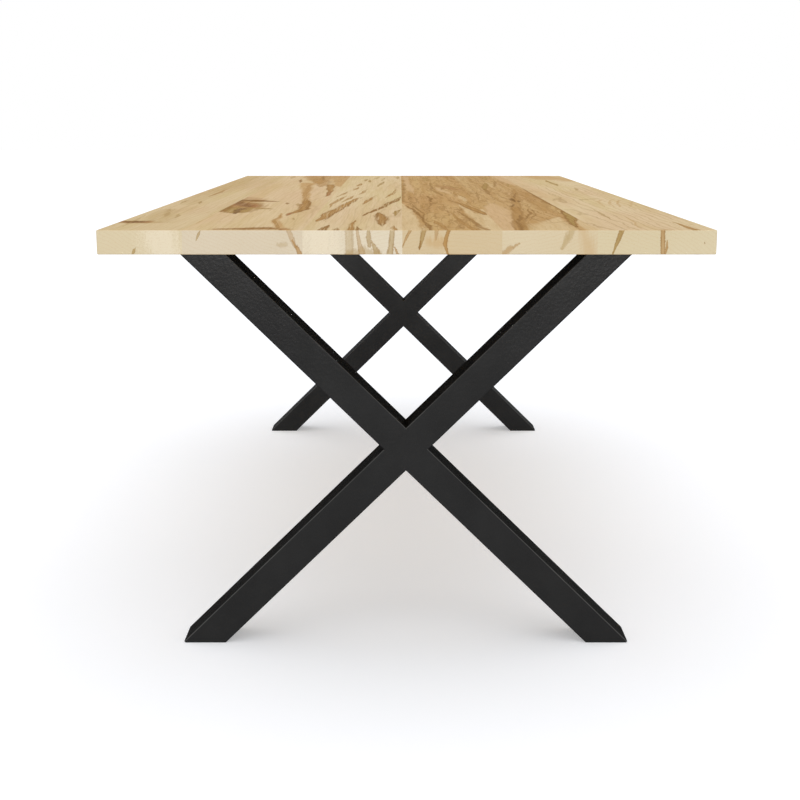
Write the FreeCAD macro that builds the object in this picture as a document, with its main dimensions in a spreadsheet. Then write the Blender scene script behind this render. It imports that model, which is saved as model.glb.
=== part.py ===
import FreeCAD, Part
import Sketcher
import math
import os

# Sawbuck dining table: a glued plank top bolted to two crossed frames of steel tube.
# Millimetres. +Y runs along the top, +X across it and +Z up, and the origin is on the floor
# under the middle of the top.

DOC = FreeCAD.newDocument("sawbuck_table")

SIZES = (
    ("top_length", "2133.6", "top, end to end"),
    ("top_width", "965.2", "top, across the boards"),
    ("top_thickness", "38.1", "top, planed thickness"),
    ("edge_round", "2", "eased edge round the top"),
    ("frame_height", "711.2", "floor to the underside of the top"),
    ("frame_spread", "798", "outside of one foot to the outside of the other"),
    ("frame_inset", "178", "end of the top to the face of the frame"),
    ("tube_face", "54", "narrow side of the tube, seen from the end of the table"),
    ("tube_depth", "76.2", "wide side of the tube, along the table"),
    ("tube_wall", "3.2", "wall of the tube"),
    ("tube_corner", "2", "outer corner of the tube"),
    ("plate_thickness", "6.4", "flat bar across the head of a frame"),
    ("plate_flange", "12.7", "plate past the tube, each way along the table"),
    ("plate_ledge", "48", "plate past the outer tube corners, at each end"),
    ("plate_corner", "6", "rounded corner of the plate"),
    ("weld_leg", "5", "leg of the weld bead under the plate"),
    ("foot_plate_thickness", "3.2", "steel plate that closes a tube at the floor"),
    ("pad_thickness", "2", "rubber pad under a foot"),
    ("pad_inset", "1", "pad in from the outline of the foot"),
    ("bolt_diameter", "8", "shank of a bolt"),
    ("bolt_length", "25", "shank under the head"),
    ("bolt_head_flats", "13", "hexagon across its flats"),
    ("bolt_head_height", "5.3", "hexagon head"),
    ("bolt_chamfer", "0.35", "round face of the head, in from the flats"),
    ("bolt_inner_reach", "90", "inner pair of bolts, from the middle of the plate"),
    ("bolt_middle_reach", "225", "middle pair of bolts, from the middle of the plate"),
    ("washer_diameter", "24", "outside of a washer"),
    ("washer_thickness", "2", "washer"),
    ("washer_clearance", "0.4", "bolt in its washer, across the diameter"),
    ("slot_clearance", "1", "bolt across its slot in the plate"),
    ("slot_travel", "10", "room for the boards to swell, along a slot"),
    ("insert_wall", "1.95", "threaded insert, outside its thread"),
    ("insert_length", "18", "threaded insert, end to end"),
    ("insert_recess", "0.5", "insert in from the underside of the top"),
    ("insert_clearance", "0.1", "insert in its hole, across the diameter"),
    ("thread_clearance", "0.1", "bolt in its insert, across the diameter"),
    ("tip_clearance", "2", "hole past the deeper of bolt and insert"),
    ("overrun", "10", "tools past the faces that they cut"),
)

# Lean is the sideways step of a tube for each millimetre of height. It follows from the spread of
# the feet, which takes in the slanted width of the tube as well. A run is measured level.
WORKED = (
    ("diagonal", "sqrt(Sizes.frame_spread ^ 2 + Sizes.frame_height ^ 2 - Sizes.tube_face ^ 2)"),
    ("lean", "(Sizes.frame_spread * Sizes.frame_height - Sizes.tube_face * diagonal)"
             " / (Sizes.frame_height ^ 2 - Sizes.tube_face ^ 2)"),
    ("stretch", "sqrt(1 + lean ^ 2)"),
    ("corner", "min(Sizes.tube_corner; Sizes.tube_wall)"),
    ("foot_corner", "min(corner; Sizes.foot_plate_thickness)"),
    ("face_run", "Sizes.tube_face * stretch"),
    ("bore_run", "(Sizes.tube_face - 2 * Sizes.tube_wall) * stretch"),
    ("pad_run", "(Sizes.tube_face - 2 * Sizes.pad_inset) * stretch"),
    ("corner_run", "corner * lean / stretch"),
    ("corner_rise", "corner / stretch"),
    ("middle", "Sizes.frame_height / 2"),
    ("crotch", "face_run / (2 * lean)"),
    ("tube_top", "Sizes.frame_height - Sizes.plate_thickness"),
    ("tube_base", "Sizes.pad_thickness + Sizes.foot_plate_thickness"),
    ("frame_reach", "Sizes.top_length / 2 - Sizes.frame_inset - Sizes.tube_depth / 2"),
    ("plate_length", "Sizes.frame_spread + 2 * Sizes.plate_ledge"),
    ("plate_width", "Sizes.tube_depth + 2 * Sizes.plate_flange"),
    ("weld_run", "face_run - 2 * corner * stretch - Sizes.weld_leg * lean"),
    ("weld_reach", "lean * (tube_top - middle - Sizes.weld_leg / 2)"),
    ("bolt_outer_reach", "(Sizes.frame_spread + Sizes.plate_ledge) / 2"),
    ("bolt_seat", "tube_top - Sizes.washer_thickness"),
    ("bolt_bite", "bolt_seat + Sizes.bolt_length - Sizes.frame_height"),
    ("insert_bore", "Sizes.bolt_diameter + Sizes.thread_clearance"),
    ("insert_diameter", "insert_bore + 2 * Sizes.insert_wall"),
    ("hole_depth", "max(bolt_bite; Sizes.insert_recess + Sizes.insert_length) + Sizes.tip_clearance"),
)

# Where the boards meet, as shares of the width of the top from its left edge.
SEAM_SHARES = (0.138, 0.332, 0.493, 0.654, 0.808)

# The rear frame is the front one turned half round, so each frame has a side and a turn in degrees.
FRAMES = (("front", -1, 0), ("rear", 1, 180))

# An edge runs along an axis when this share of it points that way.
ALONG_SHARE = 0.999
UP = FreeCAD.Vector(0, 0, 1)
NODES = []


def fill_sheet(name, rows):
    """A sheet with a row for each alias: its name, its number or formula, and a note."""
    sheet = DOC.addObject("Spreadsheet::Sheet", name)
    for number, (alias, content, *note) in enumerate(rows, start=1):
        sheet.set(f"A{number}", alias)
        sheet.set(f"B{number}", content)
        sheet.setAlias(f"B{number}", alias)
        sheet.set(f"C{number}", "".join(note))
    DOC.recompute()
    return sheet


SHEET = fill_sheet("Sizes", SIZES)
fill_sheet("Worked", [(alias, "=" + formula) for alias, formula in WORKED])


def value(expression):
    """The number that an expression in the names of the sheets comes to."""
    return float(SHEET.evalExpression(expression))


def keep(piece, label):
    """Name a finished piece and list it for writing."""
    piece.Label = label
    NODES.append(piece)


def stand(piece, side, turn):
    """Place a piece that is drawn about the middle of a frame at that frame."""
    piece.Placement.Rotation = FreeCAD.Rotation(UP, turn)
    piece.setExpression("Placement.Base.y", f"{side} * Worked.frame_reach")
    return piece


def primitive(kind, name, sizes, place, turn=0):
    """A Part primitive with its sizes and its place bound to expressions."""
    piece = DOC.addObject(kind, name)
    piece.Placement.Rotation = FreeCAD.Rotation(UP, turn)
    for size, expression in sizes.items():
        piece.setExpression(size, expression)
    for axis, expression in zip("xyz", place):
        piece.setExpression(f"Placement.Base.{axis}", expression)
    return piece


def boolean(kind, name, base, tool):
    """A Part boolean of two objects."""
    result = DOC.addObject(kind, name)
    result.Base = base
    result.Tool = tool
    return result


def group(name, pieces):
    """Separate solids that share a name."""
    compound = DOC.addObject("Part::Compound", name)
    compound.Links = pieces
    return compound


def sketch_on(body, role, name):
    """An empty sketch on one of the planes of the body's own origin."""
    sketch = body.newObject("Sketcher::SketchObject", name)
    plane = next(feature for feature in body.Origin.OriginFeatures if feature.Role == role)
    sketch.AttachmentSupport = [(plane, "")]
    sketch.MapMode = "FlatFace"
    return sketch


def dimension(sketch, kind, expression, *ends):
    """A dimension of a sketch, bound to an expression."""
    number = sketch.addConstraint(Sketcher.Constraint(kind, *ends, value(expression)))
    sketch.setExpression(f"Constraints[{number}]", expression)


def draw_polygon(sketch, corners):
    """A closed outline through corners that are each a pair of expressions."""
    places = [FreeCAD.Vector(value(across), value(up), 0) for across, up in corners]
    for start, end in zip(places, places[1:] + places[:1]):
        sketch.addGeometry(Part.LineSegment(start, end))
    for line, (across, up) in enumerate(corners):
        sketch.addConstraint(Sketcher.Constraint("Coincident", (line - 1) % len(corners), 2, line, 1))
        dimension(sketch, "DistanceX", across, -1, 1, line, 1)
        dimension(sketch, "DistanceY", up, -1, 1, line, 1)


def draw_slot(sketch, centre, radius, travel):
    """A slot along the X axis of the sketch: two half circles joined by two lines."""
    reach = value(radius)
    right = FreeCAD.Vector(value(f"{centre} + {travel} / 2"), 0, 0)
    left = FreeCAD.Vector(value(f"{centre} - {travel} / 2"), 0, 0)
    rise = FreeCAD.Vector(0, reach, 0)
    quarter = math.pi / 2
    first = sketch.addGeometry(Part.ArcOfCircle(Part.Circle(right, UP, reach), -quarter, quarter))
    top = sketch.addGeometry(Part.LineSegment(right + rise, left + rise))
    last = sketch.addGeometry(Part.ArcOfCircle(Part.Circle(left, UP, reach), quarter, 3 * quarter))
    under = sketch.addGeometry(Part.LineSegment(left - rise, right - rise))
    for before, after in ((first, top), (top, last), (last, under), (under, first)):
        sketch.addConstraint(Sketcher.Constraint("Tangent", before, 2, after, 1))
    sketch.addConstraint(Sketcher.Constraint("Equal", first, last))
    dimension(sketch, "Radius", radius, first)
    for arc, sign in ((first, "+"), (last, "-")):
        sketch.addConstraint(Sketcher.Constraint("PointOnObject", arc, 3, -1))
        dimension(sketch, "DistanceX", f"{centre} {sign} {travel} / 2", -1, 1, arc, 3)


def pull(body, kind, sketch, length, side_type):
    """Pull a sketch out into a pad, or into the body as a pocket."""
    feature = body.newObject(kind, f"{sketch.Name}_pulled")
    feature.Profile = sketch
    feature.SideType = side_type
    feature.setExpression("Length", length)
    return feature


def pad(body, sketch, length, side_type):
    """The solid that a sketch gives when it is pulled out by a length."""
    feature = pull(body, "PartDesign::Pad", sketch, length, side_type)
    DOC.recompute()
    return feature


def pocket(body, sketch, length, side_type):
    """The same pull taken out of the body, upwards where it has one side."""
    before = body.Shape.Volume
    feature = pull(body, "PartDesign::Pocket", sketch, length, side_type)
    feature.Reversed = True
    DOC.recompute()
    if not 0 < feature.Shape.Volume < before:
        raise RuntimeError(f"{feature.Name} took nothing away")
    return feature


def round_edges(body, base, radius, axis=None):
    """Round the edges of a solid that run along an axis, or all of them."""
    chosen = []
    for number, edge in enumerate(base.Shape.Edges, start=1):
        run = edge.tangentAt(edge.FirstParameter)
        if axis is None or abs(run.dot(axis)) > ALONG_SHARE * run.Length * axis.Length:
            chosen.append(f"Edge{number}")
    feature = body.newObject("PartDesign::Fillet", f"{body.Name}_rounding")
    feature.Base = (base, chosen)
    feature.setExpression("Radius", radius)
    DOC.recompute()
    return feature


def slant(sign, height, shift):
    """How far out a leaning line is at a height; sign is the way that it leans."""
    return f"{sign} * Worked.lean * ({height} - Worked.middle) + {shift}"


def leaning_corners(sign, low, high, run):
    """Outline of a leaning bar between two heights; run is its level width."""
    return [
        (slant(sign, low, f"(0 - {run} / 2)"), low),
        (slant(sign, low, f"{run} / 2"), low),
        (slant(sign, high, f"{run} / 2"), high),
        (slant(sign, high, f"(0 - {run} / 2)"), high),
    ]


def leaning_bar(name, sign, corners, rounding):
    """A solid bar in the plane of a frame, as deep as a tube, with the corners of its section rounded."""
    body = DOC.addObject("PartDesign::Body", name)
    sketch = sketch_on(body, "XZ_Plane", f"{name}_outline")
    draw_polygon(sketch, corners)
    blank = pad(body, sketch, "Sizes.tube_depth", "Symmetric")
    round_edges(body, blank, rounding, FreeCAD.Vector(sign * value("Worked.lean"), 0, 1))
    return body


def tube(name, sign, corners, low, high):
    """A leaning bar with the bore of the tube through it from one height to another."""
    body = leaning_bar(name, sign, corners, "Worked.corner")
    sketch = sketch_on(body, "XZ_Plane", f"{name}_bore")
    start = f"({low} - Sizes.overrun)"
    finish = f"({high} + Sizes.overrun)"
    draw_polygon(sketch, leaning_corners(sign, start, finish, "Worked.bore_run"))
    pocket(body, sketch, "Sizes.tube_depth - 2 * Sizes.tube_wall", "Symmetric")
    return body


def braces(frame):
    """The tubes of a frame: one runs through, and two half tubes land on its sides.

    The long brace goes from the right foot up to the left. The others lean the other way.
    """
    base = "Worked.tube_base"
    middle = "Worked.middle"
    top = "Worked.tube_top"
    whole = leaning_corners(-1, base, top, "Worked.face_run")
    upper = [("0", "Worked.middle + Worked.crotch"), ("Worked.face_run / 2", middle)]
    upper += leaning_corners(1, base, top, "Worked.face_run")[2:]
    lower = [("0", "Worked.middle - Worked.crotch"), ("0 - Worked.face_run / 2", middle)]
    lower += leaning_corners(1, base, top, "Worked.face_run")[:2]
    return {
        "long_brace": tube(f"{frame}_long_brace", -1, whole, base, top),
        "upper_brace": tube(f"{frame}_upper_brace", 1, upper, middle, top),
        "lower_brace": tube(f"{frame}_lower_brace", 1, lower, base, middle),
    }


def cross_welds(frame, side, turn, long_brace):
    """Beads ground flush, in the grooves where the half braces land on the long brace.

    Each slab lies in the wall of the long brace, which cuts it down to what fills the rounded
    corner of the tube on each face of the frame.
    """
    beads = []
    for place, sign in (("upper", "+"), ("lower", "-")):
        near = ("Worked.corner_run", "(Worked.crotch - Worked.corner_rise)")
        far = ("(Worked.face_run / 2 - Worked.corner_run)", "Worked.corner_rise")
        into = ("Worked.corner_rise", "Worked.corner_run")
        corners = [
            (f"0 {sign} {near[0]}", f"Worked.middle {sign} {near[1]}"),
            (f"0 {sign} {far[0]}", f"Worked.middle {sign} {far[1]}"),
            (f"0 {sign} ({far[0]} - {into[0]})", f"Worked.middle {sign} ({far[1]} - {into[1]})"),
            (f"0 {sign} ({near[0]} - {into[0]})", f"Worked.middle {sign} ({near[1]} - {into[1]})"),
        ]
        slab = DOC.addObject("PartDesign::Body", f"{frame}_{place}_weld_slab")
        sketch = sketch_on(slab, "XZ_Plane", f"{frame}_{place}_weld_outline")
        draw_polygon(sketch, corners)
        pad(slab, sketch, "Sizes.tube_depth", "Symmetric")
        stand(slab, side, turn)
        beads.append(boolean("Part::Cut", f"{frame}_{place}_weld", slab, long_brace))
    return group(f"{frame}_cross_welds", beads)


def plate_welds(frame):
    """Fillet beads in the corners between the plate and the flat faces of both tube heads."""
    beads = []
    for place, out in (("left", "-1"), ("right", "1")):
        for face, along, turn in (("near", "-1", 180), ("far", "1", 0)):
            sizes = {
                "Xmin": "0 - Worked.weld_run / 2",
                "Xmax": "Worked.weld_run / 2",
                "X2min": "0 - Worked.weld_run / 2",
                "X2max": "Worked.weld_run / 2",
                "Ymin": "0",
                "Ymax": "Sizes.weld_leg",
                "Zmin": "0 - Sizes.weld_leg",
                "Zmax": "0",
                "Z2min": "0",
                "Z2max": "0",
            }
            spot = (f"{out} * Worked.weld_reach", f"{along} * Sizes.tube_depth / 2", "Worked.tube_top")
            beads.append(primitive("Part::Wedge", f"{frame}_{place}_{face}_bead", sizes, spot, turn))
    return group(f"{frame}_plate_welds", beads)


BOLT_PLACES = [
    f"{out} * {reach}"
    for reach in ("Sizes.bolt_inner_reach", "Sizes.bolt_middle_reach", "Worked.bolt_outer_reach")
    for out in ("-1", "1")
]


def flat_plate(name, ends, half_width, thickness, corner):
    """A flat piece with rounded corners; ends are the places of its two short sides."""
    body = DOC.addObject("PartDesign::Body", name)
    sketch = sketch_on(body, "XY_Plane", f"{name}_outline")
    left, right = ends
    draw_polygon(sketch, [
        (left, f"0 - {half_width}"),
        (right, f"0 - {half_width}"),
        (right, half_width),
        (left, half_width),
    ])
    round_edges(body, pad(body, sketch, thickness, "One side"), corner, UP)
    return body


def top_plate(frame):
    """The flat bar across the head of a frame, slotted across the boards so that they can swell."""
    name = f"{frame}_top_plate"
    ends = ("0 - Worked.plate_length / 2", "Worked.plate_length / 2")
    body = flat_plate(name, ends, "Worked.plate_width / 2", "Sizes.plate_thickness", "Sizes.plate_corner")
    slots = sketch_on(body, "XY_Plane", f"{name}_slots")
    for centre in BOLT_PLACES:
        draw_slot(slots, centre, "(Sizes.bolt_diameter + Sizes.slot_clearance) / 2", "Sizes.slot_travel")
    pocket(body, slots, "Sizes.plate_thickness", "One side")
    body.setExpression("Placement.Base.z", "Worked.tube_top")
    return body


def rod(name, diameter, height, place):
    """A plain upright cylinder."""
    return primitive("Part::Cylinder", name, {"Radius": f"({diameter}) / 2", "Height": height}, place)


def ring(name, outside, bore, height, place):
    """A round piece with a hole through it; outside and bore are diameters."""
    blank = rod(f"{name}_blank", outside, height, place)
    return boolean("Part::Cut", name, blank, rod(f"{name}_bore", bore, height, place))


def bolt(name, centre):
    """A hexagon bolt, head down, with the chamfer that leaves a round face on the head."""
    foot = (centre, "0", "Worked.bolt_seat - Sizes.bolt_head_height")
    hexagon = primitive(
        "Part::Prism",
        f"{name}_hexagon",
        {"Circumradius": "Sizes.bolt_head_flats / sqrt(3)", "Height": "Sizes.bolt_head_height"},
        foot,
    )
    chamfer = primitive(
        "Part::Cone",
        f"{name}_chamfer",
        {
            "Radius1": "Sizes.bolt_head_flats / 2 - Sizes.bolt_chamfer",
            "Radius2": "Sizes.bolt_head_flats / 2 - Sizes.bolt_chamfer + Sizes.bolt_head_height * sqrt(3)",
            "Height": "Sizes.bolt_head_height",
        },
        foot,
    )
    seat = (centre, "0", "Worked.bolt_seat")
    shank = rod(f"{name}_shank", "Sizes.bolt_diameter", "Sizes.bolt_length", seat)
    head = boolean("Part::Common", f"{name}_head", hexagon, chamfer)
    return boolean("Part::Fuse", name, head, shank)


def fasteners(frame):
    """Bolts, washers and inserts of a frame, and the holes that the inserts sit in."""
    bolts, washers, inserts, holes = [], [], [], []
    for number, centre in enumerate(BOLT_PLACES, start=1):
        bolts.append(bolt(f"{frame}_bolt_{number}", centre))
        washers.append(ring(
            f"{frame}_washer_{number}",
            "Sizes.washer_diameter",
            "Sizes.bolt_diameter + Sizes.washer_clearance",
            "Sizes.washer_thickness",
            (centre, "0", "Worked.bolt_seat"),
        ))
        inserts.append(ring(
            f"{frame}_insert_{number}",
            "Worked.insert_diameter",
            "Worked.insert_bore",
            "Sizes.insert_length",
            (centre, "0", "Sizes.frame_height + Sizes.insert_recess"),
        ))
        holes.append(rod(
            f"{frame}_hole_{number}",
            "Worked.insert_diameter + Sizes.insert_clearance",
            "Worked.hole_depth + Sizes.overrun",
            (centre, "0", "Sizes.frame_height - Sizes.overrun"),
        ))
    return {
        "bolts": group(f"{frame}_bolts", bolts),
        "washers": group(f"{frame}_washers", washers),
        "inserts": group(f"{frame}_inserts", inserts),
        "holes": group(f"{frame}_holes", holes),
    }


def feet(frame, side):
    """The plate that closes a tube at the floor and the rubber pad under it, for both feet."""
    pieces = {}
    for sign in (1, -1):
        place = "left" if sign * side < 0 else "right"
        outline = leaning_corners(sign, "Sizes.pad_thickness", "Worked.tube_base", "Worked.face_run")
        plate = leaning_bar(f"{frame}_{place}_foot_plate", sign, outline, "Worked.foot_corner")
        sole = slant(sign, "Sizes.pad_thickness", "0")
        rubber = flat_plate(
            f"{frame}_{place}_foot_pad",
            (f"{sole} - Worked.pad_run / 2", f"{sole} + Worked.pad_run / 2"),
            "(Sizes.tube_depth / 2 - Sizes.pad_inset)",
            "Sizes.pad_thickness",
            "Worked.corner",
        )
        pieces[f"{place}_foot_plate"] = plate
        pieces[f"{place}_foot_pad"] = rubber
    return pieces


# Two frames, each drawn about its own middle and then stood in its place under the top.
insert_holes = []
for frame, side, turn in FRAMES:
    pieces = braces(frame)
    pieces["top_plate"] = top_plate(frame)
    pieces["plate_welds"] = plate_welds(frame)
    pieces.update(feet(frame, side))
    pieces.update(fasteners(frame))
    insert_holes.append(stand(pieces.pop("holes"), side, turn))
    for name, piece in pieces.items():
        keep(stand(piece, side, turn), f"{frame}_{name}")
    keep(cross_welds(frame, side, turn, pieces["long_brace"]), f"{frame}_cross_welds")

# The top, glued up from boards that run its whole length and eased all round once it is glued. Each
# board is a slice of the finished top, with the holes for the inserts bored into its underside.
top_blank = DOC.addObject("PartDesign::Body", "top_blank")
top_outline = sketch_on(top_blank, "XY_Plane", "top_outline")
draw_polygon(top_outline, [
    ("0 - Sizes.top_width / 2", "0 - Sizes.top_length / 2"),
    ("Sizes.top_width / 2", "0 - Sizes.top_length / 2"),
    ("Sizes.top_width / 2", "Sizes.top_length / 2"),
    ("0 - Sizes.top_width / 2", "Sizes.top_length / 2"),
])
round_edges(top_blank, pad(top_blank, top_outline, "Sizes.top_thickness", "One side"), "Sizes.edge_round")
top_blank.setExpression("Placement.Base.z", "Sizes.frame_height")
all_holes = group("insert_holes", insert_holes)

seams = [f"({share} - 1 / 2) * Sizes.top_width" for share in SEAM_SHARES]
left_edge = "(0 - Sizes.top_width / 2 - Sizes.overrun)"
right_edge = "(Sizes.top_width / 2 + Sizes.overrun)"
for number, (left, right) in enumerate(zip([left_edge] + seams, seams + [right_edge]), start=1):
    slice_sizes = {
        "Length": f"{right} - {left}",
        "Width": "Sizes.top_length + 2 * Sizes.overrun",
        "Height": "Sizes.top_thickness + 2 * Sizes.overrun",
    }
    slice_place = (left, "0 - Sizes.top_length / 2 - Sizes.overrun", "Sizes.frame_height - Sizes.overrun")
    slice_box = primitive("Part::Box", f"slice_{number}", slice_sizes, slice_place)
    plank = boolean("Part::Common", f"plank_{number}", top_blank, slice_box)
    keep(boolean("Part::Cut", f"top_board_{number}", plank, all_holes), f"top_board_{number}")

DOC.recompute()
faults = [item.Label for item in DOC.Objects if "Invalid" in item.State or "Error" in item.State]
faults += [node.Label for node in NODES if node.Shape.isNull() or not node.Shape.isValid()]
if faults:
    raise RuntimeError(f"failed: {faults}")

os.makedirs("parts", exist_ok=True)
for node in NODES:
    node.Shape.exportStep(f"parts/{node.Label}.step")
    print(node.Label, len(node.Shape.Solids), round(node.Shape.Volume, 1))
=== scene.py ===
import math

import bmesh
import bpy
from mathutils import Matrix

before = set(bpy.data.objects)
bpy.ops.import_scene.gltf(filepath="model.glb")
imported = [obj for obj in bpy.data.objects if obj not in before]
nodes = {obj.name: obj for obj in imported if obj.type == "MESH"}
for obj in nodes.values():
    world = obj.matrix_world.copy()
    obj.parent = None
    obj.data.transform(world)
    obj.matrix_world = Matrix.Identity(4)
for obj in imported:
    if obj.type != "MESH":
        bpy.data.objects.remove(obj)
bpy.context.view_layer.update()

# The crossed braces: two frames of rectangular steel tube, one long tube and two half tubes in each.
# They are cut on a slant, welded flush where they cross, and the joints are ground smooth
# before the whole frame is powder coated black.


def colour(red, green, blue):
    """A colour as it is seen, in 0 to 255, as the light that Blender works in."""
    seen = [part / 255 for part in (red, green, blue)]
    light = [part / 12.92 if part < 0.04045 else ((part + 0.055) / 1.055) ** 2.4 for part in seen]
    return (*light, 1.0)


def add(tree, kind, inputs=(), **settings):
    """A new node, with its settings, and with values or other nodes' sockets on its inputs."""
    made = tree.nodes.new("ShaderNode" + kind)
    for name, value in settings.items():
        setattr(made, name, value)
    for place, value in dict(inputs).items():
        if isinstance(value, bpy.types.NodeSocket):
            tree.links.new(value, made.inputs[place])
        else:
            made.inputs[place].default_value = value
    return made


def sum_of(tree, operation, *values):
    """One step of arithmetic on two or three numbers."""
    return add(tree, "Math", dict(enumerate(values)), operation=operation).outputs[0]


def stretched(tree, place, scale, detail=2.0, roughness=0.5):
    """Cloudy noise with its own grain size along each axis, given in patches per metre."""
    mapped = add(tree, "Mapping", {"Vector": place, "Scale": scale}).outputs[0]
    inputs = {"Vector": mapped, "Scale": 1.0, "Detail": detail, "Roughness": roughness}
    return add(tree, "TexNoise", inputs).outputs[0]


def spread(tree, value, low, high, start=0.0, end=1.0, ease="LINEAR"):
    """Maps low to start and high to end."""
    inputs = {0: value, 1: low, 2: high, 3: start, 4: end}
    return add(tree, "MapRange", inputs, interpolation_type=ease).outputs[0]


def blend(tree, amount, first, second, mode="MIX"):
    """The first colour, going over to the second by the amount."""
    inputs = {0: amount, 6: first, 7: second}
    return add(tree, "Mix", inputs, data_type="RGBA", blend_type=mode).outputs[2]


def new_finish(name):
    """A material with an empty surface, and the piece's own coordinates to paint on."""
    finish = bpy.data.materials.new(name)
    finish.use_nodes = True
    tree = finish.node_tree
    coordinates = add(tree, "TexCoord")
    return finish, tree, tree.nodes["Principled BSDF"], coordinates


def dress(names, finish):
    """Puts a finish on CAD nodes."""
    for name in names:
        for slot in nodes[name].material_slots:
            slot.material = finish


def coated_steel(name, ripples=0.0):
    """Black powder coat, finely grained, with a painted highlight in paler grey on upper corners, and weld
    ripples if given.
    """
    deep_black = colour(38, 38, 38)
    soft_black = colour(43, 43, 43)
    speck_grey = colour(56, 56, 56)
    # the paler grey of the painted highlight on upper corners
    painted_highlight_grey = colour(84, 84, 83)
    finish, tree, surface, coordinates = new_finish(name)
    place = coordinates.outputs["Object"]
    speckle = stretched(tree, place, (900, 900, 900), 2.0, 0.6)
    orange_peel = stretched(tree, place, (210, 210, 210), 2.0, 0.5)
    cloud = stretched(tree, place, (14, 14, 14), 3.0, 0.55)
    body = blend(tree, spread(tree, cloud, 0.3, 0.7), deep_black, soft_black)
    body = blend(tree, spread(tree, speckle, 0.45, 0.75, 0.0, 0.5), body, speck_grey)

    # a corner is where the face turns from the front of a tube to its upper side; upper corners get a
    # painted highlight, a patchy paler grey that stands in for light from above
    facing = add(tree, "SeparateXYZ", {0: coordinates.outputs["Normal"]}).outputs
    forwards = sum_of(tree, "ABSOLUTE", facing["Y"])
    turned = sum_of(tree, "MULTIPLY", spread(tree, forwards, 0.1, 0.4), spread(tree, forwards, 0.98, 0.85))
    upper = sum_of(tree, "MULTIPLY", turned, spread(tree, facing["Z"], 0.05, 0.3))
    painted_highlight_amount = sum_of(tree, "MULTIPLY", upper, spread(tree, cloud, 0.3, 0.6, 0.6, 1.0))
    # paint the highlight onto the upper corners
    body = blend(tree, painted_highlight_amount, body, painted_highlight_grey)
    tree.links.new(body, surface.inputs["Base Color"])
    tree.links.new(spread(tree, speckle, 0.3, 0.7, 0.19, 0.27), surface.inputs["Roughness"])

    height = sum_of(tree, "MULTIPLY_ADD", orange_peel, 5.0, speckle)
    if ripples:
        along = add(tree, "SeparateXYZ", {0: place}).outputs["X"]
        wave = sum_of(tree, "PINGPONG", sum_of(tree, "MULTIPLY_ADD", orange_peel, 0.001, along), ripples)
        height = sum_of(tree, "MULTIPLY_ADD", wave, 3.0 / ripples, height)
    bump = add(tree, "Bump", {"Strength": 0.11, "Distance": 0.00035, "Height": height})
    tree.links.new(bump.outputs[0], surface.inputs["Normal"])

    # a little metal in the finish gives the sheen, and a dark tint keeps it off faces seen edge on
    surface.inputs["Specular IOR Level"].default_value = 0.0
    surface.inputs["Metallic"].default_value = 0.24
    surface.inputs["Specular Tint"].default_value = (0.0, 0.0, 0.0, 1.0)
    return finish


powder_coat = coated_steel("black_powder_coat")
frames = ("front", "rear")
braces = ("long_brace", "upper_brace", "lower_brace", "cross_welds")
dress([f"{end}_{piece}" for end in frames for piece in braces], powder_coat)

# The flat bars that join each frame to the top, and the closing plates at its feet, of the same steel.
# They are welded to the tubes and coated with them, and the beads under the bars are left as welded,
# with their ripples.

plates = ("top_plate", "left_foot_plate", "right_foot_plate")
dress([f"{end}_{piece}" for end in frames for piece in plates], powder_coat)
weld_coat = coated_steel("black_powder_coat_on_welds", ripples=0.0016)
dress([f"{end}_plate_welds" for end in frames], weld_coat)

# The foot pads: thin black rubber with a fine grain, die cut to the shape of the closing plates
# and stuck under them, so that the steel doesn't mark the floor.

rubber, tree, surface, coordinates = new_finish("black_rubber")
grain = stretched(tree, coordinates.outputs["Object"], (1500, 1500, 1500), 2.0, 0.6)
body = blend(tree, grain, colour(22, 22, 22), colour(38, 38, 37))
tree.links.new(body, surface.inputs["Base Color"])
bump = add(tree, "Bump", {"Strength": 0.4, "Distance": 0.0002, "Height": grain})
tree.links.new(bump.outputs[0], surface.inputs["Normal"])
surface.inputs["Roughness"].default_value = 0.85
dress([f"{end}_{side}_foot_pad" for end in frames for side in ("left", "right")], rubber)

# The top: six boards of wormy maple glued edge to edge, planed, oiled and finished satin.
# The sapwood is pale, the stains run along the grain, and each end of the top shows the end grain.

run_of_stain = bpy.data.node_groups.new("run_of_stain", "ShaderNodeTree")
for name, kind in (
    ("Place", "NodeSocketVector"),
    ("From", "NodeSocketVector"),
    ("To", "NodeSocketVector"),
    ("From Width", "NodeSocketFloat"),
    ("To Width", "NodeSocketFloat"),
):
    run_of_stain.interface.new_socket(name, in_out="INPUT", socket_type=kind)
run_of_stain.interface.new_socket("Reach", in_out="OUTPUT", socket_type="NodeSocketFloat")
inlets = run_of_stain.nodes.new("NodeGroupInput").outputs
given = {socket.name: socket for socket in inlets if socket.name}
tree = run_of_stain
run = add(tree, "VectorMath", {0: given["To"], 1: given["From"]}, operation="SUBTRACT").outputs[0]
out = add(tree, "VectorMath", {0: given["Place"], 1: given["From"]}, operation="SUBTRACT").outputs[0]
along = add(tree, "VectorMath", {0: out, 1: run}, operation="DOT_PRODUCT").outputs["Value"]
whole = add(tree, "VectorMath", {0: run, 1: run}, operation="DOT_PRODUCT").outputs["Value"]
share = add(tree, "Clamp", {0: sum_of(tree, "DIVIDE", along, whole)}).outputs[0]
foot = add(tree, "VectorMath", {0: run, "Scale": share}, operation="SCALE").outputs[0]
away = add(tree, "VectorMath", {0: out, 1: foot}, operation="DISTANCE").outputs["Value"]
widen = sum_of(tree, "SUBTRACT", given["To Width"], given["From Width"])
width = sum_of(tree, "MULTIPLY_ADD", widen, share, given["From Width"])
reach = sum_of(tree, "DIVIDE", away, width)
tree.links.new(reach, tree.nodes.new("NodeGroupOutput").inputs["Reach"])

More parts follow.
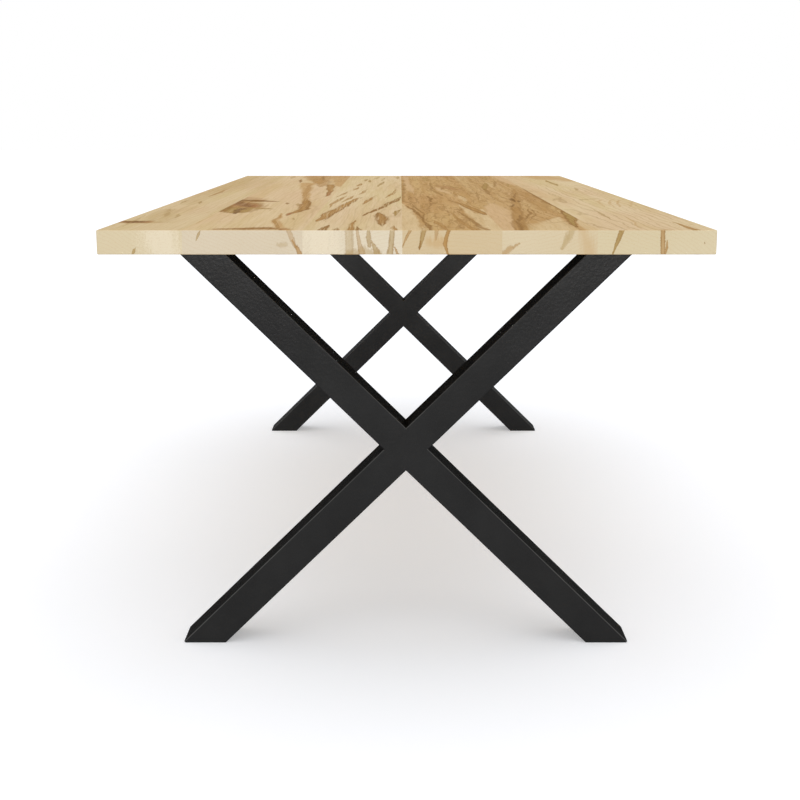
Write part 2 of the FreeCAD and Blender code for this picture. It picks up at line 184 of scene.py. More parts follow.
STAINS = {
    "cream": colour(226, 214, 190),
    "pale": colour(213, 189, 147),
    "pink": colour(207, 175, 134),
    "tan": colour(191, 155, 105),
    "brown": colour(173, 133, 78),
    "olive": colour(167, 138, 80),
    "red": colour(160, 112, 72),
    "dark": colour(142, 105, 56),
    "umber": colour(108, 74, 38),
}


def stained(tree, wood, place, calm, feather, stains):
    """The wood with its stains, and where they are dark.

    A stain is a tone, a strength, a softness, and points as x, y and half width in mm.
    Two points alone make a spindle that is widest halfway. One that lies across the grain is a knot
    or a burl, and bleeds less, so it is drawn on the calm place.
    """
    shaded = 0.0
    for tone, strength, soft, *points in stains:
        if len(points) == 2:
            (x0, y0, w0), (x1, y1, w1) = points
            points = [(x0, y0, w0 / 5), ((x0 + x1) / 2, (y0 + y1) / 2, max(w0, w1)), (x1, y1, w1 / 5)]
        across = 2 * abs(points[-1][0] - points[0][0]) > abs(points[-1][1] - points[0][1])
        reach = None
        for (x0, y0, w0), (x1, y1, w1) in zip(points, points[1:]):
            run = tree.nodes.new("ShaderNodeGroup")
            run.node_tree = run_of_stain
            tree.links.new(calm if across else place, run.inputs["Place"])
            run.inputs["From"].default_value = (x0 / 1000, y0 / 1000, 0)
            run.inputs["To"].default_value = (x1 / 1000, y1 / 1000, 0)
            run.inputs["From Width"].default_value = w0 / 1000
            run.inputs["To Width"].default_value = w1 / 1000
            near = run.outputs["Reach"]
            reach = near if reach is None else sum_of(tree, "MINIMUM", reach, near)
        ragged = sum_of(tree, "MULTIPLY_ADD", feather, 0.8 + soft, reach)
        amount = spread(tree, ragged, 1.15 - soft, 1.15 + 0.2 * soft, strength, 0.0, "SMOOTHSTEP")
        wood = blend(tree, amount, wood, STAINS[tone])
        if tone in ("brown", "olive", "red"):
            edge = 0.9 if soft > 0.8 else 0.55 + 0.35 / strength
            rim = sum_of(tree, "MULTIPLY", amount, spread(tree, ragged, 0.5, 0.95, 0.0, edge))
            wood = blend(tree, rim, wood, STAINS["dark"])
        if tone in ("brown", "olive", "red", "dark", "umber"):
            shaded = sum_of(tree, "MAXIMUM", shaded, amount)
    return wood, shaded


def maple(number, sapwood, heart, curl, loose, end_grain, pith, top_stains, end_stains):
    """One board's finish.

    The heart is how brown and streaky the board is, the curl how much its growth lines wind,
    and loose how far its stains break up into strands, each from 0 to 1.
    The pith is where the middle of its log lay, as x and z in mm.
    """
    finish, tree, surface, coordinates = new_finish(f"maple_board_{number}")
    place = coordinates.outputs["Object"]
    apart = (3.7 * number, 11.3 * number, 7.9 * number)
    own = add(tree, "Mapping", {"Vector": place, "Location": apart}).outputs[0]

    # the grain bends slowly along the board and ripples a little
    wander = stretched(tree, own, (4, 0.5, 4), 3.0, 0.5)
    ripple = stretched(tree, own, (26, 7, 26), 4.0, 0.6)
    bend = sum_of(tree, "MULTIPLY_ADD", wander, 0.04, -0.02)
    bend = sum_of(tree, "MULTIPLY_ADD", ripple, 0.012 + 0.012 * heart, bend)
    sideways = add(tree, "CombineXYZ", {"X": bend}).outputs[0]
    grain = add(tree, "VectorMath", {0: own, 1: sideways}, operation="ADD").outputs[0]

    # growth rings about the pith
    parts = add(tree, "SeparateXYZ", {0: place})
    across = sum_of(tree, "SUBTRACT", parts.outputs["X"], pith[0] / 1000)
    upwards = sum_of(tree, "SUBTRACT", parts.outputs["Z"], pith[1] / 1000)
    square = sum_of(tree, "MULTIPLY", upwards, upwards)
    from_pith = sum_of(tree, "SQRT", sum_of(tree, "MULTIPLY_ADD", across, across, square))
    bent = sum_of(tree, "MULTIPLY_ADD", wander, 0.07, from_pith)
    bent = sum_of(tree, "MULTIPLY_ADD", ripple, 0.003 + 0.014 * curl, bent)
    half_ring = 0.0028
    ring = sum_of(tree, "PINGPONG", bent, half_ring)
    ring_line = spread(tree, ring, 0.0020, half_ring, 0.0, 1.0, "SMOOTHSTEP")

    # fibres and streaks drawn out along the grain, and soft clouds of colour
    fibre = stretched(tree, grain, (560, 8, 560), 3.0, 0.6)
    streaks = stretched(tree, grain, (70, 1.8, 70), 5.0, 0.65)
    bands = stretched(tree, grain, (24, 0.9, 24), 4.0, 0.6)
    cloud = stretched(tree, own, (8, 1.5, 8), 3.0, 0.5)
    flecks = stretched(tree, grain, (230, 16, 230), 2.0, 0.5)
    veins = stretched(tree, grain, (60, 3.2, 60), 3.0, 0.5)
    strands = stretched(tree, grain, (330, 7, 330), 3.0, 0.6)

    # the stains bend with the grain and bleed along its fibres
    bleed = stretched(tree, grain, (150, 6, 150), 4.0, 0.65)
    sway_x = sum_of(tree, "MULTIPLY_ADD", ripple, 0.020, -0.010)
    sway_y = sum_of(tree, "MULTIPLY_ADD", bleed, 0.05, -0.025)
    sway = add(tree, "CombineXYZ", {"X": sway_x, "Y": sway_y}).outputs[0]
    flat = add(tree, "VectorMath", {0: place, 1: (1, 1, 0)}, operation="MULTIPLY").outputs[0]
    on_face = add(tree, "VectorMath", {0: flat, 1: sway}, operation="ADD").outputs[0]
    little = add(tree, "VectorMath", {0: sway, 1: (0.8, 0.2, 0)}, operation="MULTIPLY").outputs[0]
    on_knot = add(tree, "VectorMath", {0: flat, 1: little}, operation="ADD").outputs[0]
    feather = sum_of(tree, "SUBTRACT", streaks, 0.5)

    # long grain: the upper face, the underside and the edges
    rosy = spread(tree, cloud, 0.38, 0.64, 0.0, 1.0, "SMOOTHSTEP")
    yellow = spread(tree, bands, 0.40, 0.66, 0.0, 1.0, "SMOOTHSTEP")
    wood = blend(tree, rosy, sapwood, (0.975, 0.925, 0.93, 1.0), "MULTIPLY")
    wood = blend(tree, yellow, wood, (0.93, 0.917, 0.81, 1.0), "MULTIPLY")
    if heart:
        wood = blend(tree, spread(tree, streaks, 0.40, 0.66, 0.0, 0.75 * heart), wood, STAINS["brown"])
        wood = blend(tree, spread(tree, bands, 0.54, 0.72, 0.0, 0.5 * heart), wood, STAINS["pink"])
        off_vein = sum_of(tree, "ABSOLUTE", sum_of(tree, "SUBTRACT", veins, 0.52))
        wood = blend(tree, spread(tree, off_vein, 0.0, 0.025, 0.6 * heart, 0.0), wood, STAINS["dark"])
    clear = spread(tree, cloud, 0.35, 0.6, 0.03 + 0.24 * curl, 0.12 + 0.58 * curl)
    plain = blend(tree, sum_of(tree, "MULTIPLY", ring_line, clear), wood, STAINS["dark"])
    wood, shaded = stained(tree, plain, on_face, on_knot, feather, top_stains)
    wood = blend(tree, spread(tree, strands, 0.5, 0.62, 0.0, 0.75 * loose), wood, plain)
    inner = sum_of(tree, "MULTIPLY", shaded, spread(tree, fibre, 0.42, 0.62, 0.0, 0.8))
    wood = blend(tree, inner, wood, (0.72, 0.64, 0.50, 1.0), "MULTIPLY")
    wood = blend(tree, spread(tree, flecks, 0.66, 0.8, 0.0, 0.5), wood, STAINS["brown"])
    long_grain = blend(tree, spread(tree, fibre, 0.35, 0.75, 0.0, 0.3), wood, STAINS["brown"])

    # end grain: paler, with the rings as arcs, fine pores, and stains that stand up in the board
    speck = stretched(tree, own, (420, 420, 420), 3.0, 0.6)
    rays = stretched(tree, own, (200, 200, 24), 3.0, 0.6)
    upright = add(tree, "CombineXYZ", {"X": parts.outputs["X"], "Y": parts.outputs["Z"]}).outputs[0]
    sway = add(tree, "CombineXYZ", {"Y": sum_of(tree, "MULTIPLY_ADD", rays, 0.012, -0.006)}).outputs[0]
    on_end = add(tree, "VectorMath", {0: upright, 1: sway}, operation="ADD").outputs[0]
    wood = blend(tree, spread(tree, cloud, 0.35, 0.65), end_grain, (0.97, 0.955, 0.92, 1.0), "MULTIPLY")
    wood = blend(tree, sum_of(tree, "MULTIPLY", ring_line, 0.15), wood, STAINS["tan"])
    feather = sum_of(tree, "SUBTRACT", sum_of(tree, "ADD", rays, speck), 1.0)
    wood, shaded = stained(tree, wood, on_end, on_end, feather, end_stains)
    inner = sum_of(tree, "MULTIPLY", shaded, spread(tree, rays, 0.42, 0.62, 0.0, 0.7))
    wood = blend(tree, inner, wood, (0.76, 0.68, 0.54, 1.0), "MULTIPLY")
    cut_end = blend(tree, spread(tree, speck, 0.52, 0.72, 0.0, 0.22), wood, STAINS["tan"])

    facing = add(tree, "SeparateXYZ", {0: coordinates.outputs["Normal"]})
    at_end = spread(tree, sum_of(tree, "ABSOLUTE", facing.outputs["Y"]), 0.5, 0.85, 0.0, 1.0, "SMOOTHSTEP")
    tree.links.new(blend(tree, at_end, long_grain, cut_end), surface.inputs["Base Color"])
    tree.links.new(spread(tree, fibre, 0.3, 0.7, 0.72, 0.82), surface.inputs["Roughness"])
    height = sum_of(tree, "MULTIPLY_ADD", ring_line, -0.4, fibre)
    bump = add(tree, "Bump", {"Strength": 0.12, "Distance": 0.0003, "Height": height})
    tree.links.new(bump.outputs[0], surface.inputs["Normal"])
    surface.inputs["Specular IOR Level"].default_value = 0.03
    dress([f"top_board_{number}"], finish)


maple(
    1, sapwood=colour(211, 190, 151), heart=0.0, curl=0.2, loose=0.4,
    end_grain=colour(210, 196, 165), pith=(-560, 430),
    top_stains=[
        ("pale", 0.4, 0.8, (-364, 1067, 9), (-356, 900, 9), (-348, 711, 9)),
        ("olive", 0.2, 1.0, (-446, 1067, 34), (-440, 500, 32), (-452, 0, 24), (-446, -400, 20)),
        ("olive", 0.26, 1.0, (-452, -560, 16), (-438, -720, 26), (-418, -900, 22)),
        ("olive", 0.5, 0.9, (-437, -640, 5), (-428, -760, 5)),
        ("olive", 0.5, 0.9, (-414, -690, 4), (-404, -800, 4)),
        ("olive", 0.5, 0.9, (-450, -540, 4), (-444, -660, 4)),
        ("brown", 0.8, 0.6, (-434, 250, 1), (-437, 120, 3), (-438, 20, 4), (-437, -110, 1)),
        ("olive", 0.7, 0.7, (-464, -236, 4), (-463, -376, 4)),
        ("olive", 0.7, 0.7, (-430, -279, 4), (-419, -390, 4)),
        ("brown", 0.7, 1.0, (-480, -884, 26), (-460, -893, 36), (-438, -900, 24)),
        ("red", 1.0, 0.8, (-478, -886, 16), (-460, -892, 26), (-443, -897, 14)),
        ("umber", 1.0, 0.6, (-467, -889, 13), (-457, -892, 20), (-448, -895, 12)),
        ("olive", 0.35, 0.8, (-470, -700, 3), (-455, -1000, 3)),
    ],
    end_stains=[
        ("cream", 0.7, 1.0, (-388, 770, 32), (-380, 735, 34), (-372, 700, 32)),
        ("olive", 0.7, 0.39, (-422, 722, 1), (-429, 709, 2.4)),
    ],
)
maple(
    2, sapwood=colour(215, 192, 154), heart=0.0, curl=0.1, loose=0.35,
    end_grain=colour(210, 197, 174), pith=(-120, 1080),
    top_stains=[
        ("olive", 0.45, 0.8, (-333, 1030, 9), (-327, 850, 9)),
        ("tan", 0.95, 0.7, (-262, 1100, 44), (-255, 981, 46), (-240, 740, 34), (-233, 600, 16),
         (-228, 480, 4)),
        ("brown", 0.5, 0.9, (-266, 1100, 40), (-254, 940, 40), (-240, 740, 26)),
        ("brown", 0.5, 0.9, (-186, 1100, 28), (-180, 900, 30), (-174, 700, 22)),
        ("tan", 0.95, 0.7, (-189, 1100, 34), (-180, 760, 36), (-172, 498, 22), (-168, 360, 4)),
        ("brown", 0.65, 0.8, (-246, 880, 4), (-238, 760, 22), (-222, 560, 27), (-212, 340, 4)),
        ("tan", 1.0, 0.6, (-262, 560, 20), (-244, 270, 15), (-230, 43, 11), (-219, -130, 10),
         (-208, -330, 9)),
        ("brown", 0.5, 0.8, (-250, 480, 3), (-236, 180, 7), (-224, -100, 6), (-214, -240, 4)),
        ("brown", 1.0, 0.5, (-215, -200, 2), (-206, -330, 9), (-198, -484, 12), (-196, -569, 10),
         (-205, -660, 5), (-213, -730, 2)),
        ("dark", 0.8, 0.6, (-204, -300, 2), (-192, -470, 4), (-190, -560, 4), (-200, -630, 2)),
        ("red", 0.9, 0.7, (-209, -660, 4), (-212, -710, 5), (-213, -740, 2)),
        ("tan", 0.95, 0.6, (-229, -680, 2), (-221, -850, 7), (-205, -985, 9), (-186, -1090, 12)),
        ("brown", 0.8, 0.7, (-227, -720, 1), (-223, -850, 3), (-209, -990, 3), (-190, -1090, 4)),
        ("brown", 0.95, 0.5, (-196, 470, 12), (-182, 185, 8), (-177, 30, 6), (-173, -110, 1)),
        ("red", 0.8, 0.6, (-179, 130, 2), (-175, 0, 6), (-173, -100, 3)),
        ("dark", 0.7, 0.6, (-243, 1030, 5), (-227, 720, 4)),
        ("dark", 0.9, 0.6, (-294, 800, 6), (-285, 590, 6)),
        ("dark", 0.45, 0.9, (-216, 690, 10), (-200, 668, 12), (-182, 661, 10)),
        ("pink", 0.6, 1.0, (-352, -60, 14), (-338, -130, 28), (-322, -210, 28)),
        ("red", 0.35, 1.0, (-356, -150, 24), (-336, -210, 30), (-314, -245, 18)),
        ("brown", 0.9, 0.8, (-358, -300, 50), (-340, -400, 50), (-322, -500, 44)),
        ("dark", 0.95, 0.5, (-358, -264, 38), (-318, -277, 27), (-288, -293, 17), (-266, -306, 7)),
        ("umber", 0.5, 0.8, (-352, -262, 18), (-322, -274, 14), (-296, -288, 8)),
        ("red", 0.9, 0.8, (-356, -345, 36), (-336, -400, 33), (-314, -450, 29), (-302, -500, 15)),
        ("umber", 0.6, 0.8, (-352, -310, 16), (-332, -390, 18), (-318, -455, 13), (-312, -490, 5)),
        ("pale", 0.8, 0.9, (-312, -334, 9), (-298, -338, 14), (-282, -352, 8)),
        ("olive", 0.95, 0.7, (-358, -530, 46), (-332, -580, 50), (-316, -640, 28)),
        ("dark", 0.8, 0.8, (-352, -470, 14), (-348, -540, 16), (-344, -620, 11)),
        ("umber", 0.9, 0.7, (-314, -525, 6), (-313, -555, 11), (-315, -590, 6)),
        ("umber", 0.8, 0.7, (-322, -580, 5), (-315, -625, 8), (-312, -690, 3)),
        ("olive", 0.85, 0.7, (-302, -520, 16), (-278, -540, 18), (-260, -550, 8)),
        ("dark", 0.8, 0.7, (-246, -340, 4), (-239, -405, 4)),
        ("olive", 0.6, 0.8, (-221, -370, 5), (-215, -460, 5)),
        ("red", 0.7, 0.8, (-298, -1048, 12), (-262, -1042, 20), (-226, -1034, 26), (-196, -1048, 16)),
        ("dark", 0.85, 0.7, (-290, -1046, 9), (-258, -1043, 14), (-228, -1030, 20), (-204, -1046, 10)),
        ("olive", 0.5, 0.7, (-196, -790, 3), (-192, -850, 3)),
    ],
    end_stains=[
        ("olive", 0.6, 0.39, (-320, 751, 2), (-328, 732, 1.6)),
        ("brown", 0.4, 0.59, (-185, 752, 3), (-178, 735, 4), (-173, 724, 3)),
        ("brown", 0.75, 0.45, (-178, 733, 1), (-170, 720, 2.6), (-166, 709, 3)),
        ("olive", 0.3, 0.9, (-200, 727, 3), (-195, 727, 5), (-188, 726, 3)),
    ],
)
maple(
    3, sapwood=colour(217, 197, 159), heart=0.0, curl=0.1, loose=0.9,
    end_grain=colour(217, 206, 184), pith=(60, 420),
    top_stains=[
        ("olive", 0.55, 0.7, (-72, 980, 6), (-88, 770, 6)),
        ("olive", 0.55, 0.7, (-53, 940, 5), (-66, 670, 5)),
        ("olive", 0.8, 0.7, (-105, 830, 6), (-110, 680, 6)),
        ("olive", 0.85, 0.7, (-97, 750, 5), (-95, 600, 5)),
        ("olive", 0.7, 0.7, (-16, 1010, 6), (-15, 810, 5)),
        ("olive", 0.85, 0.6, (-54, 660, 1), (-57, 560, 5), (-60, 480, 5), (-66, 350, 1)),
        ("brown", 0.9, 0.6, (-115, 545, 5), (-121, 365, 6)),
        ("brown", 0.95, 0.6, (-118, 330, 5), (-124, 155, 5)),
        ("brown", 0.85, 0.6, (-88, 230, 4), (-105, -50, 5)),
        ("brown", 0.9, 0.6, (-20, 220, 1), (-24, 70, 5), (-31, -20, 5), (-45, -170, 1)),
        ("brown", 0.8, 0.6, (-137, 115, 4), (-150, -144, 5)),
        ("brown", 0.8, 0.6, (-128, -70, 1), (-140, -230, 5), (-147, -340, 5), (-150, -500, 1)),
        ("brown", 0.85, 0.6, (-112, -70, 4), (-132, -336, 5)),
        ("brown", 0.95, 0.5, (-100, -140, 1), (-113, -340, 8), (-130, -560, 11), (-143, -740, 11),
         (-149, -880, 2)),
        ("dark", 0.8, 0.6, (-96, -150, 1), (-108, -330, 2), (-122, -560, 2), (-134, -760, 2)),
        ("dark", 0.7, 0.6, (-130, -620, 3), (-139, -860, 4)),
        ("brown", 0.95, 0.6, (-65, -70, 1), (-75, -200, 5), (-80, -280, 5), (-86, -400, 1)),
        ("dark", 1.0, 0.5, (-9, -120, 1), (-18, -260, 8), (-36, -390, 7), (-56, -570, 5), (-76, -750, 2)),
        ("olive", 1.0, 0.5, (-7, -560, 1), (-15, -610, 5), (-20, -680, 5), (-20, -750, 1)),
        ("dark", 0.9, 0.5, (-49, -650, 2), (-45, -740, 9), (-41, -830, 12), (-39, -920, 8), (-39, -990, 1)),
        ("brown", 0.9, 0.6, (-46, -690, 1), (-43, -760, 6), (-40, -840, 8), (-39, -930, 4)),
        ("brown", 1.0, 0.5, (-85, -860, 1), (-88, -980, 5), (-91, -1120, 8)),
        ("dark", 0.95, 0.5, (-127, -960, 1), (-130, -1020, 6), (-133, -1120, 10)),
        ("dark", 0.8, 0.5, (-111, -1010, 1), (-112, -1120, 5)),
        ("dark", 0.9, 0.5, (-77, -1000, 1), (-74, -1060, 6), (-72, -1120, 9)),
        ("brown", 0.9, 0.5, (-21, -970, 1), (-20, -1120, 5)),
    ],
    end_stains=[
        ("cream", 0.7, 1.0, (-140, 770, 34), (-134, 735, 34), (-130, 700, 34)),
        ("olive", 0.35, 0.6, (-89, 756, 5), (-89, 730, 6), (-90, 706, 7)),
        ("brown", 0.45, 0.5, (-78, 756, 1.6), (-74, 730, 3), (-69, 706, 6)),
        ("olive", 0.5, 0.5, (-59, 752, 2), (-59, 738, 4), (-58, 726, 3)),
        ("olive", 0.55, 0.5, (-55, 734, 1), (-49, 720, 4), (-44, 706, 6)),
        ("olive", 0.4, 0.85, (-90, 712, 6), (-70, 716, 7), (-46, 712, 7)),
        ("olive", 0.55, 0.4, (-22, 756, 3.4), (-24, 724, 4), (-27, 706, 5)),
        ("brown", 0.7, 0.4, (-19, 724, 0.6), (-16, 717, 1.6), (-12, 708, 2.4)),
    ],
)
maple(
    4, sapwood=colour(197, 164, 113), heart=1.0, curl=1.0, loose=0.4,
    end_grain=colour(205, 186, 152), pith=(70, 380),
    top_stains=[
        ("pink", 0.75, 0.6, (5, 1000, 8), (10, 498, 8), (16, 157, 8), (19, 20, 1)),
        ("pink", 0.75, 0.7, (78, 310, 2), (86, 190, 9), (97, 90, 8), (108, -20, 1)),
        ("pale", 0.6, 0.8, (122, -90, 3), (128, -200, 8), (130, -300, 4)),
        ("pale", 0.9, 0.4, (-9, -355, 2), (-9, -560, 14), (-9, -800, 31), (-9, -1100, 44)),
        ("pale", 0.7, 0.6, (106, -420, 2), (118, -640, 7), (132, -800, 16), (146, -1100, 26)),
        ("pale", 0.8, 0.5, (150, -560, 4), (150, -800, 20), (152, -1100, 28)),
        ("brown", 0.95, 0.5, (108, -320, 2), (114, -400, 6), (128, -540, 9), (140, -640, 8),
         (147, -715, 2)),
        ("dark", 0.7, 0.6, (109, -380, 1), (122, -560, 2), (134, -640, 3), (146, -715, 2)),
        ("dark", 0.55, 0.7, (-4, 540, 4), (-2, 71, 5), (-4, -330, 4)),
        ("dark", 0.85, 0.6, (1, -440, 1), (10, -540, 3), (21, -650, 4), (29, -825, 3), (36, -980, 4),
         (40, -1100, 2)),
        ("dark", 0.75, 0.6, (13, -400, 1), (20, -540, 3), (34, -700, 3), (28, -820, 2)),
        ("brown", 0.8, 0.6, (45, -850, 1), (50, -900, 4), (58, -1000, 4), (64, -1100, 3)),
        ("dark", 0.6, 0.7, (71, 560, 3), (68, 185, 4), (76, 60, 5), (87, -90, 3)),
        ("dark", 0.6, 0.8, (94, 310, 4), (96, 260, 7), (98, 210, 4)),
        ("red", 0.5, 1.0, (90, 404, 14), (110, 300, 16), (128, 193, 14)),
        ("dark", 0.9, 0.7, (52, -90, 2), (55, -220, 5), (55, -320, 2)),
        ("dark", 0.6, 0.8, (51, -330, 4), (48, -480, 5)),
        ("dark", 0.6, 0.7, (22, -120, 3), (26, -320, 4)),
        ("brown", 0.8, 0.6, (83, -620, 1), (88, -780, 3), (96, -930, 5), (110, -1100, 5)),
        ("dark", 0.7, 0.6, (97, -620, 2), (103, -700, 3), (117, -950, 4), (128, -1100, 4)),
        ("olive", 0.55, 0.8, (66, 960, 8), (64, 840, 9), (62, 700, 6)),
        ("brown", 0.6, 0.7, (118, 120, 3), (116, -130, 4)),
    ],
    end_stains=[
        ("brown", 0.65, 0.39, (8, 754, 2.4), (0, 738, 2), (-7, 724, 1)),
        ("olive", 0.65, 0.39, (28, 756, 4), (24, 736, 3), (20, 722, 1.6)),
        ("dark", 0.7, 0.52, (22, 732, 1), (20, 724, 2.2), (20, 720, 1)),
        ("brown", 0.5, 0.45, (47, 754, 3), (46, 742, 2.4), (45, 733, 1)),
        ("tan", 0.5, 1.0, (38, 730, 8), (48, 729, 10), (58, 730, 8)),
        ("brown", 0.85, 0.45, (67, 755, 3), (62, 738, 2.4), (60, 726, 3), (64, 714, 2), (66, 706, 1)),
    ],
)
maple(
    5, sapwood=colour(198, 167, 118), heart=0.9, curl=0.9, loose=0.4,
    end_grain=colour(210, 195, 165), pith=(120, 1090),
    top_stains=[
        ("pink", 0.85, 0.6, (176, -380, 8), (172, -560, 24), (166, -711, 27), (158, -1100, 25)),
        ("pale", 0.8, 0.8, (222, -1110, 42), (234, -960, 36), (252, -860, 18), (268, -780, 3)),
        ("pale", 0.8, 0.5, (294, -1110, 16), (290, -960, 8), (296, -840, 3)),
        ("pale", 0.35, 0.7, (160, 1100, 4), (159, 880, 5), (158, 680, 3)),
        ("pale", 0.4, 0.7, (229, 670, 5), (223, 240, 6)),
        ("olive", 0.6, 0.8, (244, 990, 8), (234, 740, 9)),
        ("dark", 0.6, 0.7, (258, 700, 1), (248, 580, 4), (238, 460, 4), (229, 330, 1)),
        ("olive", 0.9, 0.6, (219, 560, 2), (212, 430, 8), (205, 320, 9), (196, 180, 3)),
        ("dark", 0.75, 0.7, (197, 230, 3), (199, 120, 7), (197, -40, 3)),
        ("dark", 0.5, 0.7, (174, 130, 3), (156, -260, 4)),
        ("olive", 0.6, 0.7, (280, 560, 4), (267, 350, 5)),
        ("brown", 0.4, 0.9, (284, 60, 14), (280, -200, 18), (274, -400, 20), (262, -600, 8)),
        ("brown", 0.7, 0.8, (270, 230, 2), (263, 90, 7), (250, -90, 10), (236, -250, 12), (220, -440, 10),
         (212, -560, 11)),
        ("brown", 0.85, 0.6, (214, -500, 8), (210, -640, 11), (198, -780, 12), (186, -930, 12),
         (176, -1110, 10)),
        ("dark", 0.8, 0.7, (262, 60, 1), (252, -80, 4), (240, -190, 2)),
        ("dark", 0.75, 0.7, (297, 200, 4), (297, -213, 8), (296, -400, 5), (297, -640, 3)),
        ("umber", 0.85, 0.8, (232, -190, 3), (230, -256, 6), (229, -320, 2)),
        ("umber", 0.7, 0.8, (240, -270, 2), (239, -300, 5), (238, -330, 2)),
        ("umber", 0.7, 0.8, (216, -400, 2), (213, -445, 5), (210, -480, 2)),
        ("dark", 0.9, 0.6, (208, -720, 2), (200, -800, 5), (189, -880, 5), (184, -980, 6), (178, -1110, 5)),
        ("dark", 0.75, 0.6, (237, -540, 1), (233, -660, 3), (218, -760, 3), (204, -830, 2)),
        ("dark", 0.6, 0.6, (246, -560, 1), (238, -690, 2), (224, -780, 2), (210, -850, 1)),
        ("dark", 0.95, 0.5, (295, -600, 2), (290, -700, 8), (283, -810, 11), (275, -930, 7),
         (271, -1010, 2)),
        ("olive", 1.0, 0.6, (294, -640, 1), (289, -740, 7), (283, -830, 8), (276, -930, 4), (273, -980, 1)),
        ("brown", 0.5, 0.7, (225, -925, 1), (250, -905, 3), (268, -880, 1)),
        ("pink", 0.9, 0.7, (294, 1100, 24), (291, 800, 20), (291, 560, 13), (294, 420, 3)),
    ],
    end_stains=[
        ("brown", 0.6, 0.9, (176, 730, 1.4), (164, 722, 3), (150, 710, 5)),
        ("olive", 0.45, 0.85, (259, 755, 5), (251, 738, 6), (242, 722, 3)),
        ("tan", 0.4, 1.0, (275, 748, 9), (280, 730, 11), (286, 712, 12)),
    ],
)
maple(
    6, sapwood=colour(217, 197, 159), heart=0.0, curl=0.5, loose=0.4,
    end_grain=colour(210, 197, 166), pith=(250, 420),
    top_stains=[
        ("pink", 0.55, 1.0, (318, 1100, 40), (319, 700, 36), (317, 250, 30), (312, -150, 20)),
        ("tan", 0.75, 0.95, (392, 1100, 52), (398, 940, 46), (416, 790, 32)),
        ("tan", 0.75, 1.0, (436, 980, 34), (452, 840, 44), (472, 680, 36)),
        ("tan", 0.5, 0.9, (440, 405, 8), (456, 402, 12), (476, 398, 10)),
        ("olive", 0.85, 0.6, (404, 740, 1), (398, 640, 5), (401, 550, 5), (406, 490, 6), (402, 390, 1)),
        ("olive", 0.5, 0.7, (432, 290, 4), (418, 150, 5)),
        ("brown", 0.95, 0.6, (444, -890, 1), (449, -980, 4), (454, -1110, 6)),
        ("brown", 0.5, 0.8, (390, -1062, 3), (400, -1063, 8), (410, -1064, 3)),
        ("olive", 0.4, 0.7, (360, -500, 3), (352, -900, 3)),
        ("olive", 0.45, 0.8, (418, -200, 6), (390, -222, 9), (376, -250, 5)),
        ("tan", 0.7, 0.7, (476, -205, 1), (452, -290, 3), (434, -390, 3), (424, -490, 1)),
        ("tan", 0.6, 0.7, (456, -200, 1), (434, -280, 3), (418, -380, 3), (412, -500, 1)),
        ("tan", 0.6, 0.7, (430, -205, 1), (410, -290, 3), (402, -380, 2), (396, -490, 1)),
        ("tan", 0.5, 0.8, (480, -280, 1), (464, -360, 3), (448, -470, 3), (440, -560, 1)),
        ("tan", 0.7, 0.7, (388, -780, 1), (383, -860, 2.4), (374, -960, 2.4), (366, -1060, 1)),
    ],
    end_stains=[
        ("olive", 0.8, 0.39, (337, 756, 4), (329, 734, 3), (319, 709, 0.8)),
        ("brown", 0.7, 0.33, (398, 756, 3.4), (398, 730, 3.6), (399, 704, 3)),
        ("brown", 0.8, 0.39, (405, 732, 0.6), (405, 722, 1.8), (403, 713, 1)),
        ("dark", 0.6, 0.45, (463, 730, 1), (464, 726, 1)),
    ],
)

# The threaded inserts: turned from brass, six for each frame, screwed into blind holes
# in the underside of the boards, so that the bolts have metal threads to hold in.

brass, tree, surface, coordinates = new_finish("turned_brass")
turned = stretched(tree, coordinates.outputs["Object"], (400, 400, 6000), 2.0, 0.5)
body = blend(tree, turned, colour(196, 160, 88), colour(214, 182, 112))
tree.links.new(body, surface.inputs["Base Color"])
tree.links.new(spread(tree, turned, 0.3, 0.7, 0.28, 0.4), surface.inputs["Roughness"])
surface.inputs["Metallic"].default_value = 1.0
dress([f"{end}_inserts" for end in frames], brass)

# The bolts and washers: zinc-plated steel, six of each to a frame. They go up through the slots
# of the flat bar into the inserts, and the slots let the boards swell and shrink.

zinc, tree, surface, coordinates = new_finish("zinc_plate")
spangle = stretched(tree, coordinates.outputs["Object"], (300, 300, 300), 3.0, 0.6)
body = blend(tree, spangle, colour(176, 178, 180), colour(204, 206, 206))
tree.links.new(body, surface.inputs["Base Color"])
tree.links.new(spread(tree, spangle, 0.3, 0.7, 0.3, 0.44), surface.inputs["Roughness"])
surface.inputs["Metallic"].default_value = 1.0
dress([f"{end}_{piece}" for end in frames for piece in ("bolts", "washers")], zinc)

# The studio: a plain white floor and a white surround, a soft light above and a strip lamp in front.
# The camera, and what metal reflects, see the floor and the surround as white,
# while the table is lit at a plain level and keeps its shadow on the floor.


def sees_background(tree):
    """One for what the camera, a reflection or clear glass sees, and nought for the light itself."""
    path = add(tree, "LightPath").outputs
    seen = sum_of(tree, "MAXIMUM", path["Is Camera Ray"], path["Is Glossy Ray"])
    return sum_of(tree, "MAXIMUM", seen, path["Is Transmission Ray"])


def light(name, kind, energy, place=(0, 0, 0), lean=0.0):
    """A lamp of a kind, at a place. It shines straight down, or leans up from there by so many degrees."""
    lamp = bpy.data.objects.new(name, bpy.data.lights.new(name, kind))
    lamp.data.energy = energy
    lamp.location = place
    lamp.rotation_euler = (math.radians(lean), 0.0, 0.0)
    bpy.context.scene.collection.objects.link(lamp)
    return lamp.data


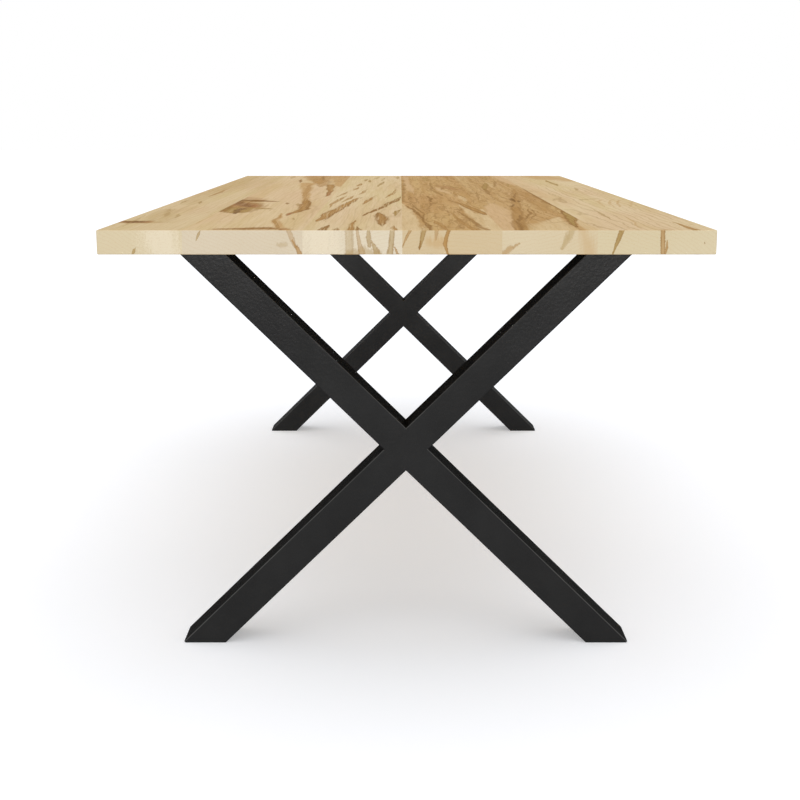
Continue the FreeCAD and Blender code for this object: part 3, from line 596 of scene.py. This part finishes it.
pure_white = (1.0, 1.0, 1.0, 1.0)
floor_as_lit = (0.8, 0.8, 0.8, 1.0)
floor_as_seen = (0.772, 0.79, 0.832, 1.0)
floor_glow = 0.325
floor_reach = 40.0
floor_shape = bmesh.new()
bmesh.ops.create_grid(floor_shape, x_segments=1, y_segments=1, size=floor_reach)
floor_mesh = bpy.data.meshes.new("floor")
floor_shape.to_mesh(floor_mesh)
floor_shape.free()
floor = bpy.data.objects.new("floor", floor_mesh)
bpy.context.scene.collection.objects.link(floor)
floor_paint = bpy.data.materials.new("floor_paint")
floor_paint.use_nodes = True
tree = floor_paint.node_tree
tree.nodes.clear()
paint = add(tree, "BsdfDiffuse", {"Color": floor_as_lit}).outputs[0]
shaded = add(tree, "BsdfDiffuse", {"Color": floor_as_seen}).outputs[0]
glow = add(tree, "Emission", {"Color": pure_white, "Strength": floor_glow}).outputs[0]
white = add(tree, "AddShader", {0: shaded, 1: glow}).outputs[0]
surface = add(tree, "MixShader", {0: sees_background(tree), 1: paint, 2: white}).outputs[0]
add(tree, "OutputMaterial", {"Surface": surface})
floor_mesh.materials.append(floor_paint)

world = bpy.data.worlds.new("studio")
bpy.context.scene.world = world
world.use_nodes = True
tree = world.node_tree
background = tree.nodes["Background"]
background.inputs["Color"].default_value = pure_white
fill_light = 0.6
surround = spread(tree, sees_background(tree), 0.0, 1.0, fill_light, 1.0)
tree.links.new(surround, background.inputs["Strength"])

overhead = light("overhead", "SUN", energy=1.3)
overhead.angle = math.radians(90)
strip = light("front_strip", "AREA", energy=1230, place=(0.0, -20.0, 0.9), lean=90)
strip.shape = "RECTANGLE"
strip.size = 8.0
strip.size_y = 0.5

camera = bpy.data.objects.new("camera", bpy.data.cameras.new("camera"))
camera.data.sensor_width = 36.0
camera.data.lens = 61.34
camera.location = (-0.0104, -3.1923, 0.9156)
camera.rotation_euler = (math.radians(78.42), 0.0, 0.0)
bpy.context.scene.collection.objects.link(camera)
bpy.context.scene.camera = camera
bpy.context.scene.view_settings.view_transform = "Standard"
